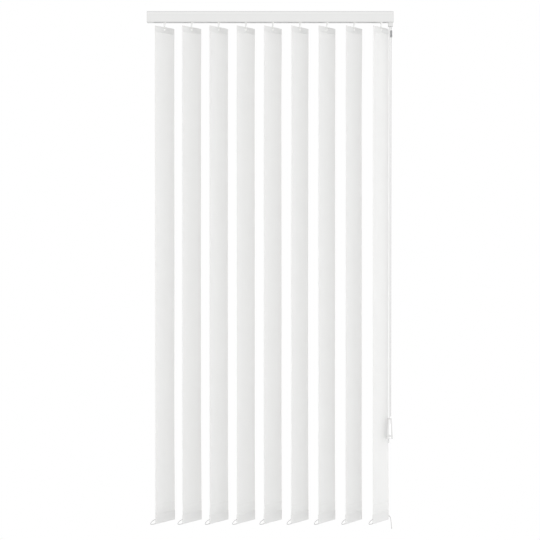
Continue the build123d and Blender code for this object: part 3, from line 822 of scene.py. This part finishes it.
def add_hardware(number):
    """Hanger plate and weight in the pockets, and the chain that is clipped to the weight."""
    body = f"vane_{number}"
    half_long = 57.0
    top, low = VANE_TOP - 1.0, VANE_TOP - 24.9
    middle = (top + low) / 2
    outline = rounded_outline(half_long, (top - low) / 2, 3.0, 5)
    eye_half_long, eye_half_high, eye_middle = 5.0, 4.0, VANE_TOP - 10.0
    hole = []
    for u, z in rounded_outline(half_long, eye_half_high, 1.0, 5):
        shrunk = u * eye_half_long / half_long
        shrunk = max(-eye_half_long, min(eye_half_long, shrunk))
        hole.append((shrunk, z + eye_middle - middle))
    solid = Solid()
    solid.bands(plate_rings(number, outline, (0.0, middle), 0.6, 0.25, hole), True)
    hanger = solid.piece(
        f"hanger_plate_{number}", FINISH["fitting_plastic"], "fitting_plastic", body
    )

    half_high = 19.0
    middle = VANE_BOTTOM + 0.7 + half_high
    outline = rounded_outline(half_long, half_high, 3.0, 6)
    solid = Solid()
    solid.skin(plate_rings(number, outline, (0.0, middle), 1.4, 0.9))
    weight = solid.piece(
        f"bottom_weight_{number}", FINISH["fitting_plastic"], "fitting_plastic", body
    )

    base = VANE_BOTTOM + 2.1
    loop = [(-57.3, base + 19), (-79.5, base + 17), (-95.5, base + 6)]
    loop += [(-90.5, base), (-57.3, base)]
    runs = [[on_vane(number, u, 0, z) for u, z in loop]]
    if number == len(VANES):
        tail = [(57.3, base + 16), (72.3, base + 13), (83.3, base - 5)]
        tail += [(89.3, VANE_BOTTOM - 44.4)]
        runs.append([on_vane(number, u, 0, z) for u, z in tail])
    lines = [smooth_line(run, 12) for run in runs]
    chain = repeat_along(
        f"bottom_chain_{number}", lines, STRING, "fitting_plastic", body, spacing=4.1 * MM,
        link_length=3.4 * MM, link_width=3.4 * MM, thread_radius=0.8 * MM, segments=8, rings=6,
        finish=LINKS,
    )
    for piece in (hanger, weight, chain):
        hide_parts(f"vane_fittings_{number}")


def add_vanes():
    for number in VANES:
        cloth = add_cloth(number)
        stitches = add_stitches(number)
        add_hardware(number)


# ---- Pendant --------------------------------------------------------------------------------
def add_pendant():
    """A hollow moulding, open at the top for the cord, with a turned nub under it."""
    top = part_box("cord_pendant")[1].z / MM
    hub, low = top - 22.0, top - 88.0

    def half_sizes(height):
        part = (top - height) / 22.0
        if part < 1:
            return 9.5 + 1.5 * rise(part, -0.4, 1.4), 6.5 + 0.8 * part
        part = (hub - height) / (hub - low)
        return 11.0 + 4.0 * (0.75 * part + 0.25 * part * part), 7.3 - 0.8 * part

    def shell(height, inset=0.0):
        x, y = half_sizes(height)
        return oval(x - inset, y - inset, height)

    rings = [shell(top - 45, 0.8), shell(hub - 8, 0.8), shell(hub, 0.8), shell(top - 8, 0.8)]
    rings += [shell(top - 0.4, 0.8), shell(top - 0.1, 0.6), shell(top, 0.4)]
    rings += [shell(top - 0.1, 0.15), shell(top - 0.5)]
    rings += [shell(top - step) for step in (4, 9, 14, 18, 22)]
    groove = low + 12.0
    rings += [shell(hub + (groove - hub) * k / 7) for k in range(1, 7)]
    rings += [shell(groove + 0.8), shell(groove + 0.3, 0.35)]
    rings += [shell(groove - 0.3, 0.35), shell(groove - 0.8)]
    rings += [shell(low + step) for step in (8.0, 4.0, 2.0)]
    rings += [shell(low + 1.2, 0.15), shell(low + 0.5, 0.6)]
    rings += [shell(low + 0.1, 1.3), shell(low, 2.2)]
    solid = Solid()
    solid.skin(rings)

    nub_x = CORD_X - 4.0
    profile = [(2.6, 1.5), (3.0, 1.0), (3.5, 0.4), (3.5, -3.0), (3.1, -3.6), (3.1, -4.4)]
    profile += [(3.5, -5.0), (3.5, -15.2), (3.2, -16.6), (2.4, -17.5), (1.2, -17.9)]
    profile += [(0.4, -18.0)]
    nub = []
    for radius, step in profile:
        nub.append([
            Vector((
                nub_x + radius * math.cos(math.pi * k / 14), radius * math.sin(math.pi * k / 14),
                low + step,
            )) * MM
            for k in range(28)
        ])
    solid.skin(nub)

    pin = []
    for along, radius in ((-10.4, 1.1), (-10.0, 1.45), (10.0, 1.45), (10.4, 1.1)):
        pin.append([
            Vector((
                CORD_X + along, radius * math.cos(math.pi * k / 8),
                hub + radius * math.sin(math.pi * k / 8),
            )) * MM
            for k in range(16)
        ])
    solid.skin(pin)
    pendant = solid.piece(
        "pull_cord_pendant", FINISH["pendant_plastic"], "pendant_plastic", "head", sharp=38
    )
    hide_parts("cord_pendant")


# ---- Assembly -------------------------------------------------------------------------------
def dress_frame():
    """Gives each carried-over piece the finish of its slot."""
    for part in frame["record"]["subparts"]:
        node = frame["nodes"][part["node"]]
        node.data.materials.clear()
        node.data.materials.append(FINISH[part["material_slot"]])


def add_floor():
    reach, level = 1.3, -2.6
    mesh = bpy.data.meshes.new("floor")
    mesh.from_pydata(
        [(x * reach, y * reach, level) for x, y in ((-1, -1), (1, -1), (1, 1), (-1, 1))],
        [], [(0, 1, 2, 3)],
    )
    mesh.materials.append(FLOOR)
    floor = bpy.data.objects.new("floor", mesh)
    scene.collection.objects.link(floor)


add_camera()
add_surroundings()
dress_frame()
add_cords()
add_vanes()
add_pendant()
add_floor()
